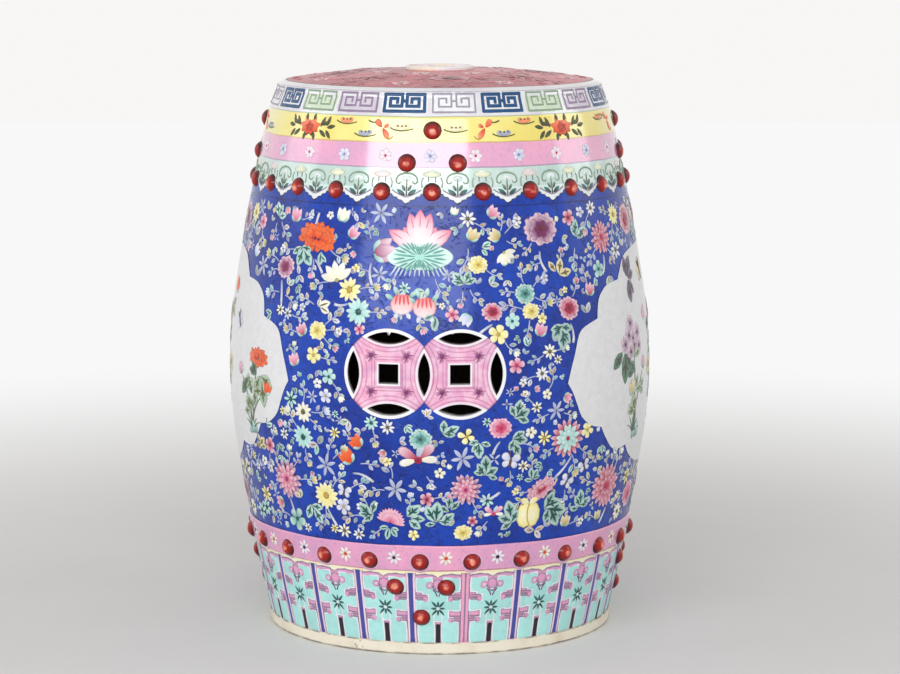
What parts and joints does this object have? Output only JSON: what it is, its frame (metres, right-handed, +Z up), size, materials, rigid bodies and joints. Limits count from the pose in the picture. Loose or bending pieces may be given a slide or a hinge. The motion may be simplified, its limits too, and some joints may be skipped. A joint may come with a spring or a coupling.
{
  "type": "garden stool",
  "caption": "Hollow barrel-shaped glazed ceramic garden stool with a domed seat, pierced interlocking coins front and back, rows of raised bosses and a plain foot ring.",
  "frame": {"origin": "centre of the foot ring's underside, on the floor", "axes": "+Z up along the barrel's axis, -Y out of the front pair of coins, +X to the right seen from the front"},
  "size_m": [0.354, 0.3556, 0.47],
  "materials": {
    "bare_clay": "matte",
    "base_enamel": "gloss",
    "cobalt_enamel": "gloss",
    "shoulder_enamel": "gloss",
    "seat_enamel": "gloss",
    "white_glaze": "gloss",
    "coin_enamel": "gloss",
    "boss_red": "gloss"
  },
  "bodies": {
    "root": {"foot_ring": "bare_clay", "base_section": "base_enamel", "lower_barrel": "cobalt_enamel", "upper_barrel": "cobalt_enamel", "shoulder_section": "shoulder_enamel", "seat_top": "seat_enamel", "seat_coin": "white_glaze", "front_coin_panel": "coin_enamel", "back_coin_panel": "coin_enamel", "shoulder_row_bosses": "boss_red", "base_row_bosses": "boss_red", "front_shoulder_trio": "boss_red", "front_base_trio": "boss_red", "right_shoulder_trio": "boss_red", "right_base_trio": "boss_red", "back_shoulder_trio": "boss_red", "back_base_trio": "boss_red", "left_shoulder_trio": "boss_red", "left_base_trio": "boss_red"}
  },
  "joints": []
}
